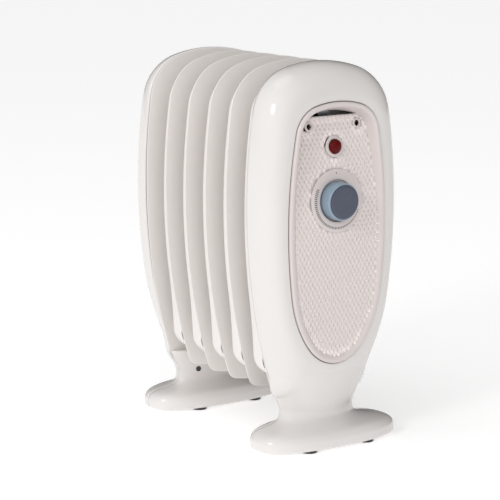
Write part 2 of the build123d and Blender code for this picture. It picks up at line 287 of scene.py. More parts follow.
HOUSING = Finish("housing_dark", (0.045, 0.045, 0.048), 0.5, peel_depth=0.15, tint_spread=0.1)
BROWN = Finish("lead_brown", (0.16, 0.05, 0.02), 0.42)
BLUE = Finish("lead_blue", (0.03, 0.08, 0.30), 0.42)
WHITE = Finish("lead_white", (0.70, 0.70, 0.66), 0.42)
GREEN = Finish("lead_green", (0.09, 0.30, 0.05), 0.42)

SLOT_FINISHES = {
    "radiator_paint": ENAMEL,
    "cover_plastic": COVER,
    "panel_plastic": PANEL,
    "knob_plastic": KNOB_SIDE,
    "cap_plastic": KNOB_CAP,
    "lamp_red": LAMP,
    "black_rubber": RUBBER,
    "brass_parts": BRASS,
    "screw_steel": STEEL,
    "bracket_steel": SHEET_STEEL,
    "shield_aluminium": ALUMINIUM,
    "component_plastic": HOUSING,
    "lead_brown": BROWN,
    "lead_blue": BLUE,
    "lead_white": WHITE,
    "lead_green": GREEN,
}


# ---------------------------------------------------------------- mesh drafting


class Draft:
    """Vertices in millimetres and faces of a mesh being drawn."""

    def __init__(self) -> None:
        """Start with nothing drawn."""
        self.points: list[tuple[float, float, float]] = []
        self.faces: list[list[int]] = []

    def row(self, points: list[tuple[float, float, float]]) -> list[int]:
        """Add a row of points.

        Args:
            points: their places in millimetres.

        Returns:
            Their numbers.
        """
        start = len(self.points)
        self.points.extend(tuple(float(v) for v in p) for p in points)
        return list(range(start, len(self.points)))

    def bridge(self, first: list[int], second: list[int], closed: bool = True) -> None:
        """Join two rows of the same length with quads.

        Args:
            first: numbers of one row.
            second: numbers of the other.
            closed: whether the rows are rings.
        """
        count = len(first)
        for i in range(count if closed else count - 1):
            j = (i + 1) % count
            corners = [first[i], first[j], second[j], second[i]]
            face = [c for k, c in enumerate(corners) if c not in corners[:k]]
            if len(face) > 2:
                self.faces.append(face)

    def bridge_all(self, rows: list[list[int]], closed: bool = True) -> None:
        """Join each row to the next."""
        for first, second in zip(rows, rows[1:]):
            self.bridge(first, second, closed)

    def cap(self, ring: list[int]) -> None:
        """Close a ring with one face."""
        self.faces.append(list(ring))

    def piece(
        self, name: str, body: str, slot: str, finish: Finish, sharp: float = 32.0
    ) -> bpy.types.Object:
        """Turn the draft into a piece that rides on a body.

        Args:
            name: name of the piece.
            body: body that it moves with.
            slot: name of a material slot of the record; not used.
            finish: how it looks.
            sharp: angle in degrees from which an edge is drawn sharp.

        Returns:
            The new object.
        """
        mesh = bpy.data.meshes.new(name)
        mesh.from_pydata([tuple(v * MM for v in p) for p in self.points], [], self.faces)
        work = bmesh.new()
        work.from_mesh(mesh)
        bmesh.ops.remove_doubles(work, verts=work.verts, dist=2e-6)
        bmesh.ops.recalc_face_normals(work, faces=work.faces)
        work.to_mesh(mesh)
        work.free()
        mesh.polygons.foreach_set("use_smooth", [True] * len(mesh.polygons))
        mesh.set_sharp_from_angle(angle=math.radians(sharp))
        mesh.materials.append(finish.build())
        made = bpy.data.objects.new(name, mesh)
        bpy.context.scene.collection.objects.link(made)
        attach(made, body)
        log.info("%s: %d faces", name, len(mesh.polygons))
        return made


def thicken(piece: bpy.types.Object, thickness: float) -> None:
    """Give a skin its wall thickness, inwards.

    Args:
        piece: the skin.
        thickness: in millimetres.
    """
    wall = piece.modifiers.new("wall", "SOLIDIFY")
    wall.thickness = thickness * MM
    wall.offset = -1.0


def node_box(node: str) -> tuple[Vector, Vector]:
    """Lowest and highest corner of a CAD node, in millimetres."""
    low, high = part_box(node)
    return low / MM, high / MM


def row_slope(slopes: list[float], row: int) -> float:
    """Slope of a curve at one row: level at a turning point, otherwise the harmonic mean of its neighbours.

    Args:
        slopes: slope of each straight step between two rows.
        row: number of the row.

    Returns:
        The slope there.
    """
    if row in (0, len(slopes)):
        return slopes[min(row, len(slopes) - 1)]
    before, after = slopes[row - 1], slopes[row]
    return 0.0 if before * after <= 0 else 2 * before * after / (before + after)


def smooth_steps(table: tuple[tuple[float, ...], ...], at: float) -> list[float]:
    """Read a table of sizes along one axis with a smooth curve through its rows that never overshoots.

    Args:
        table: rows of a position followed by the sizes there, in rising order of position.
        at: position to read.

    Returns:
        The sizes at that position.
    """
    places = [row[0] for row in table]
    if at <= places[0]:
        return list(table[0][1:])
    if at >= places[-1]:
        return list(table[-1][1:])
    i = max(k for k in range(len(places) - 1) if places[k] <= at)
    span = places[i + 1] - places[i]
    t = (at - places[i]) / span
    sizes = []
    for column in range(1, len(table[0])):
        values = [row[column] for row in table]
        slopes = [(values[k + 1] - values[k]) / (places[k + 1] - places[k]) for k in range(len(values) - 1)]
        level = values[i] * (2 * t**3 - 3 * t**2 + 1) + values[i + 1] * (3 * t**2 - 2 * t**3)
        start_slope, end_slope = row_slope(slopes, i) * span, row_slope(slopes, i + 1) * span
        sizes.append(level + start_slope * (t**3 - 2 * t**2 + t) + end_slope * (t**3 - t**2))
    return sizes


@dataclass(frozen=True)
class Egg:
    """Closed egg outline in X and Z: tangent arcs down the right half, mirrored, and one arc below."""

    joints: tuple[tuple[float, float], ...]

    def half(self) -> np.ndarray:
        """Finely spaced points of the right half, from the top to the bottom.

        Returns:
            An array of X and Z.
        """
        heading = np.array([1.0, 0.0])
        points = []
        for start, end in zip(self.joints, self.joints[1:-1]):
            p, q = np.array(start, float), np.array(end, float)
            chord = q - p
            side = np.array([-heading[1], heading[0]])
            radius = chord @ chord / (2 * (chord @ side))
            centre = p + side * radius
            a = math.atan2(*(p - centre)[::-1])
            b = math.atan2(*(q - centre)[::-1])
            sweep = (b - a + math.pi) % (2 * math.pi) - math.pi
            for t in np.linspace(0, 1, 48, endpoint=False):
                angle = a + sweep * t
                points.append(centre + abs(radius) * np.array([math.cos(angle), math.sin(angle)]))
            unit = chord / np.linalg.norm(chord)
            heading = 2 * (heading @ unit) * unit - heading
        (x, z), (_, low) = self.joints[-2:]
        radius = (x * x + (z - low) ** 2) / (2 * (z - low))
        reach = math.asin(min(1.0, x / radius))
        for angle in np.linspace(reach, 0, 48):
            points.append(np.array([radius * math.sin(angle), low + radius * (1 - math.cos(angle))]))
        return np.array(points)

    def radius(self, angles: np.ndarray) -> np.ndarray:
        """Distance from the egg's centre to the outline.

        Args:
            angles: directions from the centre, 0 straight down and growing towards +X, in radians.

        Returns:
            The distance in each direction.
        """
        half = self.half()[::-1]
        around = np.arctan2(half[:, 0], EGG_CENTRE - half[:, 1])
        reach = np.hypot(half[:, 0], half[:, 1] - EGG_CENTRE)
        return np.interp(np.abs(angles), around, reach)

    def ring(self, inset: float, count: int) -> np.ndarray:
        """Evenly spaced points of the outline, moved inwards.

        Args:
            inset: distance inwards.
            count: number of points.

        Returns:
            An array of X and Z, clockwise from the top.
        """
        half = self.half()
        full = np.vstack([half, half[::-1][1:-1] * np.array([-1.0, 1.0])])
        loop = np.vstack([full, full[:1]])
        length = np.concatenate([[0], np.cumsum(np.linalg.norm(np.diff(loop, axis=0), axis=1))])
        at = np.linspace(0, length[-1], count, endpoint=False)
        spaced = np.column_stack([np.interp(at, length, loop[:, k]) for k in (0, 1)])
        along = np.roll(spaced, -1, axis=0) - np.roll(spaced, 1, axis=0)
        along /= np.linalg.norm(along, axis=1)[:, None]
        inward = np.column_stack([along[:, 1], -along[:, 0]])
        return spaced + inward * inset


SECTION = Egg(((0, 390.5), (42, 384.5), (77.5, 343.5), (77.5, 155.5), (55.7, 62), (45.9, 53.5), (0, 49.5)))
CHAMBER = Egg(((0, 379), (38, 374.5), (69, 341), (70.5, 152.5), (64.8, 92), (48.6, 72), (0, 68.1)))
CHAMBER_END = Egg(((0, 372), (35, 368), (62, 338), (63.5, 153), (59, 95), (44, 78.5), (0, 75)))
MOUTH = Egg(((0, 391.5), (42, 385.6), (78.6, 344), (78.6, 155.5), (54.5, 62.5), (44.5, 50.5), (0, 48.4)))
FRONT_FACE = Egg(((0, 356), (27.5, 352.5), (53.5, 325), (58, 156.5), (38, 104.5), (22, 89.5), (0, 83.4)))
REAR_FACE = Egg(((0, 350), (27, 346), (50, 320), (54, 160), (36, 108), (21, 93), (0, 87)))
RECESS = Egg(((0, 353.5), (27, 350), (51.5, 323.5), (55.5, 157.5), (36, 107), (20.5, 92.2), (0, 86.4)))


# ---------------------------------------------------------------- end covers and legs


@dataclass
class EndCover:
    """A domed cover over one end of the radiator that runs down into the outer half of its leg."""

    name: str
    node: str
    inner_node: str
    side: Side
    seam: float
    depth: float
    face: Egg
    foot_shift: float
    inner_top: float
    inner_face: float = 0.0
    recess: Egg | None = None
    power: float = 2.3
    bottom_power: float = 1.65
    power_heights: tuple[float, float] = (85.0, 135.0)
    neck_in: float = 15.0
    foot_half_depth: float = 38.0
    rest: float = 2.5
    bottom_edge: float = 3.0
    join_height: float = 79.0
    neck_height: float = 40.0
    neck_bend: float = 44.0
    foot_top: float = 12.0
    dome_rings: int = 30
    crown: float = 0.6
    recess_edge: tuple[tuple[float, float], ...] = (
        (1.2, 0.0),
        (0.75, 0.08),
        (0.35, 0.35),
        (0.08, 0.75),
        (0.0, 1.2),
        (0.0, 6.0),
    )
    top_round: float = 2.0
    foot_inner_top: float = 47.0
    screw_angles: tuple[float, ...] = (205.0, 335.0)
    screw_height: float = 40.0
    blend_width: float = 14.0
    blend_height: float = 26.0
    wall: float = 2.5
    foot_columns: int = 96
    side_columns: int = 260
    leg_steps: tuple[tuple[float, float, float, float, float], ...] = (
        (0.0, 84.5, 0.0, 2.5, 27.0),
        (9.0, 84.5, 0.0, 2.5, 27.0),
        (12.5, 83.0, 0.03, 2.5, 27.0),
        (15.5, 79.5, 0.09, 2.4, 27.0),
        (17.6, 73.0, 0.20, 2.3, 27.0),
        (19.0, 65.0, 0.40, 2.2, 27.0),
        (20.4, 56.5, 0.62, 2.1, 27.0),
        (22.6, 49.0, 0.85, 2.0, 27.0),
        (26.5, 45.2, 0.97, 2.0, 27.2),
        (33.0, 44.3, 1.0, 2.0, 27.8),
        (41.0, 46.6, 1.0, 2.0, 29.4),
        (47.5, 49.5, 1.0, 2.0, 30.8),
        (54.0, 52.5, 1.0, 2.05, 32.2),
        (62.0, 55.0, 1.0, 2.2, 33.8),
        (76.5, 58.6, 1.0, 2.5, 35.6),
    )

    def place(self, x: float, out: float, z: float) -> tuple[float, float, float]:
        """A point given by its distance outwards from the seam."""
        return x, self.seam + self.side.value * out, z

    def dome(self, x: np.ndarray, z: np.ndarray) -> np.ndarray:
        """How far the dome stands out from the seam.

        Args:
            x: places across.
            z: heights.

        Returns:
            The depth at each place, 0 outside the mouth.
        """
        angle = np.arctan2(x, EGG_CENTRE - z)
        reach = np.hypot(x, z - EGG_CENTRE)
        outer, inner = MOUTH.radius(angle), self.face.radius(angle)
        share = np.clip((reach - inner) / (outer - inner), 0, 1)
        power = np.interp(z, self.power_heights, (self.bottom_power, self.power))
        return self.depth * (1 - share**power) ** (1 / power)

    def dome_reach(self, angles: np.ndarray, z: float) -> np.ndarray:
        """Distance from the seam's middle to the dome at one height.

        Args:
            angles: directions in the level plane, 0 along +X and a quarter turn straight out.
            z: height.

        Returns:
            The distance in each direction.
        """
        low, high = np.zeros_like(angles), np.full_like(angles, 110.0)
        for _ in range(30):
            middle = (low + high) / 2
            inside = self.dome(middle * np.cos(angles), np.full_like(angles, z)) > middle * np.sin(angles)
            low, high = np.where(inside, middle, low), np.where(inside, high, middle)
        return low

    def leg_reach(self, angles: np.ndarray, z: float) -> np.ndarray:
        """Distance from the seam's middle to the leg at one height.

        Args:
            angles: directions in the level plane, 0 along +X and a quarter turn straight out.
            z: height.

        Returns:
            The distance in each direction.
        """
        rise = z - self.rest
        half, ease, power, neck_out = smooth_steps(self.leg_steps, rise)
        rim = 0.0
        if rise < self.bottom_edge:
            rim = self.bottom_edge - math.sqrt(self.bottom_edge**2 - (self.bottom_edge - rise) ** 2)
        middle = self.foot_shift * (1 - ease)
        outer = (self.foot_shift + self.foot_half_depth) * (1 - ease) + neck_out * ease - middle - rim
        inner = (self.foot_half_depth - self.foot_shift) * (1 - ease) + self.neck_in * ease + middle - rim
        low, high = np.zeros_like(angles), np.full_like(angles, 110.0)
        for _ in range(30):
            reach = (low + high) / 2
            along = reach * np.sin(angles) - middle
            span = np.where(along > 0, outer, inner)
            sideways = np.abs(reach * np.cos(angles) / (half - rim)) ** power
            inside = sideways + np.abs(along / span) ** power < 1
            low, high = np.where(inside, reach, low), np.where(inside, high, reach)
        return low

    def outer_reach(self, angles: np.ndarray, z: float) -> np.ndarray:
        """Leg and dome at one height, run together with a soft hollow where they meet.

        Args:
            angles: directions in the level plane.
            z: height.

        Returns:
            The distance in each direction.
        """
        leg = self.leg_reach(angles, z)
        if z > self.neck_height:
            leg = np.minimum(leg, self.dome_reach(angles, self.join_height))
        if z <= MOUTH.joints[-1][1]:
            dome = np.zeros_like(angles)
        else:
            dome = self.dome_reach(angles, z)
        below = min(1.0, (self.join_height - z) / self.blend_height)
        width = max(1e-6, self.blend_width * below**2 * (3 - 2 * below))
        near = np.clip(width - np.abs(leg - dome), 0, None) / width
        return np.maximum(leg, dome) + near**2 * width / 4

    def build(self) -> None:
        """Make the cover, the inner half of its leg and the dark discs painted as shade in its screw holes.
        """
        self.build_shell()
        self.build_inner_leg()
        for angle in self.screw_angles:
            self.build_screw_hole_shade(math.radians(angle), self.screw_height)

    def build_shell(self) -> None:
        """Make the cover: level rows of the leg below, rings of the dome above, joined along one line."""
        draft = Draft()
        angles = np.linspace(0, math.pi, self.foot_columns + 1)
        joint = self.dome_reach(angles, self.join_height)
        self.draw_leg(draft, angles, joint)
        self.draw_dome(draft, joint * np.cos(angles))
        shell = draft.piece(f"{self.name}_shell", BODY, "cover_plastic", COVER, 40.0)
        thicken(shell, self.wall)
        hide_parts(self.node)

    def draw_leg(self, draft: Draft, angles: np.ndarray, joint: np.ndarray) -> None:
        """Draw the outer half of the leg in level rows, from the joint down to the floor.

        Args:
            draft: mesh being drawn.
            angles: directions of the columns.
            joint: distance from the seam's middle to the cover at the joint, in each direction.
        """
        rows = [self.level_row(draft, joint, angles, self.join_height)]
        edge_top = self.rest + self.bottom_edge
        heights = np.concatenate(
            [
                np.linspace(self.join_height, self.neck_bend, 44)[1:],
                np.linspace(self.neck_bend, self.foot_top, 40)[1:],
                np.linspace(self.foot_top, edge_top, 8)[1:],
                self.rest + self.bottom_edge * (1 - np.sin(np.linspace(0, math.pi / 2, 8)))[1:],
            ]
        )
        for z in heights:
            rows.append(self.level_row(draft, self.outer_reach(angles, float(z)), angles, float(z)))
        draft.bridge_all(rows, closed=False)
        draft.cap(rows[-1])

    def level_row(self, draft: Draft, reach: np.ndarray, angles: np.ndarray, z: float) -> list[int]:
        """Add a level row of points round the seam's middle.

        Args:
            draft: mesh being drawn.
            reach: distance in each direction.
            angles: the directions.
            z: height.

        Returns:
            Numbers of the points.
        """
        points = [self.place(r * math.cos(a), r * math.sin(a), z) for r, a in zip(reach, angles)]
        return draft.row(points)

    def draw_dome(self, draft: Draft, joint_across: np.ndarray) -> None:
        """Draw the dome in rings, from the mouth and the joint to its flat face or recess.

        Args:
            draft: mesh being drawn.
            joint_across: places across of the joint's points.
        """
        drop = EGG_CENTRE - self.join_height
        bottom_angles = np.arctan2(joint_across, drop)
        corner = bottom_angles[0]
        side_angles = np.linspace(corner, 2 * math.pi - corner, self.side_columns + 1)[1:-1]
        ring_angles = np.concatenate([bottom_angles[::-1], side_angles])
        wrapped = (ring_angles + math.pi) % (2 * math.pi) - math.pi
        straight = drop / np.cos(np.minimum(np.abs(wrapped), abs(corner)))
        outer = np.where(np.abs(wrapped) <= abs(corner) + 1e-9, straight, MOUTH.radius(wrapped))
        inner = self.face.radius(wrapped)
        rings = []
        for turn in np.linspace(0, math.pi / 2, self.dome_rings):
            reach = inner + (outer - inner) * math.cos(turn) ** (2 / self.power)
            x, z = reach * np.sin(wrapped), EGG_CENTRE - reach * np.cos(wrapped)
            rings.append(draft.row([self.place(a, u, b) for a, u, b in zip(x, self.dome(x, z), z)]))
        if self.recess:
            edge = self.recess.radius(wrapped)
            for gap, drop_in in self.recess_edge:
                rings.append(self.flat_ring(draft, edge + gap, wrapped, drop_in))
        else:
            for share in np.linspace(0.94, 0.06, 12):
                rings.append(self.flat_ring(draft, inner * share, wrapped, -self.crown * (1 - share**2)))
            draft.cap(rings[-1])
        draft.bridge_all(rings)

    def flat_ring(self, draft: Draft, reach: np.ndarray, angles: np.ndarray, drop_in: float) -> list[int]:
        """Add a ring near the cover's flat face.

        Args:
            draft: mesh being drawn.
            reach: distance from the egg's centre in each direction.
            angles: the directions.
            drop_in: how far the ring lies behind the face.

        Returns:
            Numbers of the ring's points.
        """
        x, z = reach * np.sin(angles), EGG_CENTRE - reach * np.cos(angles)
        return draft.row([self.place(a, self.depth - drop_in, b) for a, b in zip(x, z)])

    def build_inner_leg(self) -> None:
        """Make the half of the leg that faces the radiator, with its closed top."""
        draft = Draft()
        angles = np.linspace(math.pi, 2 * math.pi, self.foot_columns + 1)
        rounding = np.linspace(0, math.pi / 2, 6)
        edge = self.top_round
        heights = [self.rest + self.bottom_edge * (1 - math.cos(t)) for t in np.linspace(0, math.pi / 2, 8)]
        heights += list(np.linspace(self.rest + self.bottom_edge, self.inner_top - edge, 56)[1:])
        levels = [(z, 0.0) for z in heights]
        for turn in rounding[1:]:
            levels.append((self.inner_top - edge * (1 - math.sin(turn)), edge * (1 - math.cos(turn))))
        rows = []
        for z, inset in levels:
            reach = self.leg_reach(angles, float(z)) - inset
            limit = self.inner_face if z > self.foot_inner_top else 0.0
            points = [(r * math.cos(a), min(r * math.sin(a), -limit)) for r, a in zip(reach, angles)]
            rows.append(draft.row([self.place(x, u, z) for x, u in points]))
        draft.bridge_all(rows, closed=False)
        draft.cap(rows[0])
        draft.cap(rows[-1])
        leg = draft.piece(f"{self.name}_inner_leg", BODY, "cover_plastic", COVER, 40.0)
        thicken(leg, self.wall)
        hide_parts(self.inner_node)

    def build_screw_hole_shade(self, angle: float, z: float) -> None:
        """Make a dark dished disc on the inner half of the leg: painted shade standing in for the dark
        inside of a screw hole.

        Args:
            angle: direction from the middle of the seam, in radians.
            z: height of the hole.
        """
        angles = np.array([angle - 0.02, angle, angle + 0.02])
        reach = self.leg_reach(angles, z)
        before, centre, after = (
            Vector(self.place(r * math.cos(a), r * math.sin(a), z)) for r, a in zip(reach, angles)
        )
        across = (after - before).normalized()
        normal = across.cross(Vector((0, 0, 1))).normalized()
        if normal.dot(centre - Vector(self.place(0, 0, z))) < 0:
            normal = -normal
        up = Vector((0, 0, 1))
        draft = Draft()
        rings = []
        for radius, lift in ((3.1, -0.8), (3.0, 0.30), (2.7, 0.38), (2.4, 0.22), (1.2, 0.12)):
            ring = []
            for turn in np.linspace(0, 2 * math.pi, 40, endpoint=False):
                outward = across * math.cos(turn) + up * math.sin(turn)
                ring.append(tuple(centre + outward * radius + normal * lift))
            rings.append(draft.row(ring))
        draft.bridge_all(rings)
        draft.cap(rings[0])
        draft.cap(rings[-1])
        word = "left" if centre.x < 0 else "right"
        # Painted shade: the disc takes the dark housing finish to stand for the shadowed inside of the hole.
        draft.piece(f"{self.name}_screw_hole_shade_{word}", BODY, "component_plastic", HOUSING, 40.0)


# ---------------------------------------------------------------- radiator sections


@dataclass
class Sections:
    """The welded sections: a flat plate with a rolled edge and a pressed oil chamber behind each."""

    count: int = 6
    edge_steps: int = 6
    chamber_power: float = 3.5
    ring_points: int = 300

    def build(self) -> None:
        """Make every plate and chamber at its own node's place."""
        for number in range(1, self.count + 1):
            self.build_plate(f"section_plate_{number}", number)
            self.build_chamber(f"oil_chamber_{number}", number)

    def build_plate(self, node: str, number: int) -> None:
        """Make one plate.

        Args:
            node: CAD node that it stands for.
            number: place in the row, from the front.
        """
        low, high = node_box(node)
        radius = (high.y - low.y) / 2
        draft = Draft()
        rings = []
        for turn in np.linspace(-math.pi / 2, math.pi / 2, self.edge_steps + 1):
            inset = radius * (1 - math.cos(turn))
            y = (low.y + high.y) / 2 + radius * math.sin(turn)
            rings.append(draft.row([(x, y, z) for x, z in SECTION.ring(inset, self.ring_points)]))
        draft.bridge_all(rings)
        draft.cap(rings[0])
        draft.cap(rings[-1])
        plate = draft.piece(f"fin_plate_{number}", BODY, "radiator_paint", ENAMEL, 50.0)
        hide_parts(node)

    def build_chamber(self, node: str, number: int) -> None:
        """Make one pressed chamber.

        Args:
            node: CAD node that it stands for.
            number: place in the row, from the front.
        """
        low, high = node_box(node)
        inset = 4.0 if number == self.count else 0.0
        outer, inner = CHAMBER.ring(inset, self.ring_points), CHAMBER_END.ring(inset, self.ring_points)
        draft = Draft()
        rings = []
        for turn in np.linspace(0, math.pi / 2, 22):
            share = 1 - math.cos(turn) ** (2 / self.chamber_power)
            y = low.y + (high.y - low.y) * math.sin(turn) ** (2 / self.chamber_power)
            rings.append(draft.row([(x, y, z) for x, z in outer + (inner - outer) * share]))
        for share in np.linspace(0.93, 0.1, 9):
            centre = np.array([0.0, EGG_CENTRE])
            rings.append(draft.row([(x, high.y, z) for x, z in centre + (inner - centre) * share]))
        draft.bridge_all(rings)
        draft.cap(rings[-1])
        chamber = draft.piece(f"fin_chamber_{number}", BODY, "radiator_paint", ENAMEL, 50.0)
        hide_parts(node)


# ---------------------------------------------------------------- control panel


@dataclass
class ControlPanel:
    """The front cover's insert: a raised rim, a scooped plate of small pyramids, a dial and a lamp seat."""

    rim_width: float = 10.0
    groove: float = 0.6
    rim_round: float = 2.2
    wall_width: float = 5.5
    plate_overlap: float = 6.5
    pitch: float = 5.25
    row_pitch: float = 4.5
    pyramid: float = 2.3
    sink: float = 2.5
    scoop_start: float = 190.0
    scoop_radius: float = 993.0
    slope: float = 0.0036
    slot_height: float = 340.5
    knob_recess: float = 21.4
    dial_radius: float = 32.0
    dial_lift: float = 0.1
    print_rise: float = 0.06
    lamp_seat: float = 10.7
    lamp_clear: float = 11.5
    knob_hole: float = 22.6
    lamp_hole: float = 7.6
    screw_hole: float = 3.4
    lowest_row: float = 86.0
    row_count: int = 62
    half_columns: int = 20
    tick_count: int = 46
    first_tick: float = 152.0
    tick_step: float = 4.1
    longest_tick: float = 3.6
    shortest_tick: float = 1.4
    scale_radius: float = 28.6
    tick_half: float = 0.42
    screw_spread: float = 29.8
    screw_height: float = 329.0
    ring_points: int = 320
    knob_height: float = field(init=False)
    lamp_height: float = field(init=False)
    front: float = field(init=False)

    def __post_init__(self) -> None:
        """Take the places that the frame settles."""
        low, high = node_box("knob")
        self.knob_height = (low.z + high.z) / 2
        low, high = node_box("lamp_lens")
        self.lamp_height = (low.z + high.z) / 2
        self.front = node_box("control_panel")[0].y

    def plate_y(self, z: float) -> float:
        """Depth of the plate at one height: upright below, then curving inwards."""
        over = max(0.0, z - self.scoop_start)
        return self.front + self.slope * (z - 80.0) + over**2 / (2 * self.scoop_radius)

    def build(self) -> None:
        """Make the rim, the plate, the dial, the lamp seat and the screw seats."""
        rim = self.build_rim()
        plate = self.build_plate()
        dial = self.build_dial()
        self.build_scale()
        seat = self.build_seat("lamp_seat", 0.0, self.lamp_height, 7.4, self.lamp_seat, 3.0)
        for side, word in ((-1, "left"), (1, "right")):
            self.build_seat(f"screw_seat_{word}", side * self.screw_spread, self.screw_height, 3.0, 5.0, 1.8)
        for piece in (rim, plate, dial, seat):
            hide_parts("control_panel")

    def build_rim(self) -> bpy.types.Object:
        """Make the raised rim.

        Returns:
            The rim.
        """
        draft = Draft()
        rings = []
        band_end = self.rim_width - self.wall_width
        profile = [(self.groove, 7.0)]
        for turn in np.linspace(0, math.pi / 2, 7):
            across, down = self.rim_round * (1 - math.cos(turn)), self.rim_round * (1 - math.sin(turn))
            profile.append((self.groove + across, down))
        profile.append((band_end, 0.0))
        for inset, down in profile:
            ring = RECESS.ring(inset, self.ring_points)
            rings.append(draft.row([(x, self.front + down, z) for x, z in ring]))
        for share in np.linspace(0, 1.1, 12)[1:]:
            ring = RECESS.ring(band_end + self.wall_width * share, self.ring_points)
            row = []
            for x, z in ring:
                foot = self.plate_y(z) + self.sink + 0.4 - self.front
                row.append((x, self.front + foot * share**1.5, z))
            rings.append(draft.row(row))
        draft.bridge_all(rings)
        rim = draft.piece("panel_rim", BODY, "panel_plastic", PANEL, 45.0)
        thicken(rim, 1.2)
        return rim

    def is_cut(self, x: float, z: float) -> bool:
        """Whether a place lies in a hole of the plate."""
        holes = ((0.0, self.knob_height, self.knob_hole), (0.0, self.lamp_height, self.lamp_hole))
        screws = tuple((s * self.screw_spread, self.screw_height, self.screw_hole) for s in (-1, 1))
        return any(math.hypot(x - hx, z - hz) < radius for hx, hz, radius in holes + screws)

    def build_plate(self) -> bpy.types.Object:
        """Make the plate: staggered rows of small pyramids on the scooped surface.

        Returns:
            The plate.
        """
        draft = Draft()
        numbers: dict[tuple[int, int], int] = {}
        reach = RECESS.radius(np.linspace(0, math.pi, 721))
        around = np.linspace(0, math.pi, 721)

        def within(x: float, z: float) -> bool:
            """Whether the plate has material at a place.

            Args:
                x: place across.
                z: height.

            Returns:
                True inside the outline and outside every hole, below the hand slot.
            """
            opening = np.interp(abs(math.atan2(x, EGG_CENTRE - z)), around, reach) - self.rim_width
            edge = opening + self.plate_overlap
            return math.hypot(x, z - EGG_CENTRE) < edge and not self.is_cut(x, z) and z < self.slot_height

        def corner(i: int, j: int) -> int:
            """Number of a lattice point, drawn once.

            Args:
                i: its column, in half pitches.
                j: its row.

            Returns:
                The point's number.
            """
            if (i, j) not in numbers:
                x, z = i * self.pitch / 2, self.lowest_row + j * self.row_pitch
                peak = (i + j) % 2 == 1
                y = self.plate_y(z) + self.sink - (self.pyramid if peak and self.has_relief(x, z) else 0.0)
                numbers[i, j] = draft.row([(x, y, z)])[0]
            return numbers[i, j]

        for j in range(self.row_count):
            for i in range(-self.half_columns, self.half_columns + 1):
                if (i + j) % 2 == 1:
                    self.draw_cell(draft, corner, within, i, j)
        # The pyramids' light and shade is painted by their finish: lighter facets, dark valleys.
        plate = draft.piece("panel_plate", BODY, "panel_plastic", PANEL_PYRAMIDS_LIT_AND_SHADED, 12.0)
        thicken(plate, 1.5)
        return plate

    def has_relief(self, x: float, z: float) -> bool:
        """Whether a pyramid stands at a place: none under the dial or the lamp seat."""
        off_dial = math.hypot(x, z - self.knob_height) > self.dial_radius
        return off_dial and math.hypot(x, z - self.lamp_height) > self.lamp_clear

    def draw_cell(self, draft: Draft, corner: Corner, within: Within, i: int, j: int) -> None:
        """Draw the two facets between two neighbouring pyramid tops of one row.

        Args:
            draft: mesh being drawn.
            corner: gives the number of a lattice point.
            within: tells whether the plate has material at a place.
            i: column of the valley between the tops, in half pitches.
            j: its row.
        """
        for step in (1, -1):
            cells = [(i - 1, j), (i + 1, j), (i, j + step)]
            if all(within(a * self.pitch / 2, self.lowest_row + b * self.row_pitch) for a, b in cells):
                left, right, tip = (corner(a, b) for a, b in cells)
                valley = corner(i, j)
                draft.faces.append([left, valley, tip])
                draft.faces.append([valley, right, tip])

    def build_dial(self) -> bpy.types.Object:
        """Make the smooth ring round the knob and the cup that the knob sits in.

        Returns:
            The dial.
        """
        draft = Draft()
        floor = node_box("knob")[1].y + 0.8
        lift = self.dial_lift
        rings = []
        turns = np.linspace(0, 2 * math.pi, 128, endpoint=False)
        for radius, up in ((4.2, 0.0), (self.knob_recess - 0.6, 0.0), (self.knob_recess, 0.6)):
            rings.append(self.circle(draft, radius, turns, lambda z, y=floor - up: y))
        lip = self.knob_recess
        for radius, down in ((lip, 0.7), (lip + 0.2, 0.2), (lip + 0.7, 0.0)):
            rings.append(self.circle(draft, radius, turns, lambda z, d=down: self.plate_y(z) - lift + d))
        for radius, down in ((27.0, 0.0), (31.2, 0.0), (31.8, 0.15), (self.dial_radius, 0.5), (32.0, 1.6)):
            rings.append(self.circle(draft, radius, turns, lambda z, d=down: self.plate_y(z) - lift + d))
        draft.bridge_all(rings)
        dial = draft.piece("thermostat_dial", BODY, "panel_plastic", PANEL, 35.0)
        thicken(dial, 1.0)
        return dial

    def circle(self, draft: Draft, radius: float, turns: np.ndarray, depth: Depth) -> list[int]:
        """Add a circle round the knob's axis.

        Args:
            draft: mesh being drawn.
            radius: its radius.
            turns: angles of its points.
            depth: gives the depth at a height.

        Returns:
            Numbers of its points.
        """
        points = []
        for turn in turns:
            z = self.knob_height + radius * math.sin(turn)
            points.append((radius * math.cos(turn), depth(z), z))
        return draft.row(points)

    def build_scale(self) -> None:
        """Make the printed scale: fine ticks from the left, under the knob and up to the right."""
        draft = Draft()
        fall = self.longest_tick - self.shortest_tick
        for number in range(self.tick_count):
            turn = math.radians(self.first_tick + self.tick_step * number)
            length = self.longest_tick - fall * number / (self.tick_count - 1)
            self.tick(draft, turn, self.scale_radius - length, self.scale_radius, self.tick_half)
        inner = self.scale_radius - self.shortest_tick
        self.tick(draft, math.pi / 2, inner, self.scale_radius, self.tick_half + 0.08)
        draft.piece("dial_scale", BODY, "cap_plastic", PRINT, 30.0)

    def tick(self, draft: Draft, turn: float, inner: float, outer: float, half: float) -> None:
        """Draw one tick as a thin block of print on the dial.

        Args:
            draft: mesh being drawn.
            turn: direction of the tick.
            inner: radius of its inner end.
            outer: radius of its outer end.
            half: half its width.
        """
        layers = []
        for rise in (self.dial_lift - self.print_rise, self.dial_lift + self.print_rise):
            points = []
            for radius, side in ((inner, -half), (outer, -half), (outer, half), (inner, half)):
                x = radius * math.cos(turn) - side * math.sin(turn)
                z = self.knob_height + radius * math.sin(turn) + side * math.cos(turn)
                points.append((x, self.plate_y(z) - rise, z))
            layers.append(draft.row(points))
        draft.bridge(*layers)
        draft.cap(layers[0])
        draft.cap(layers[1])

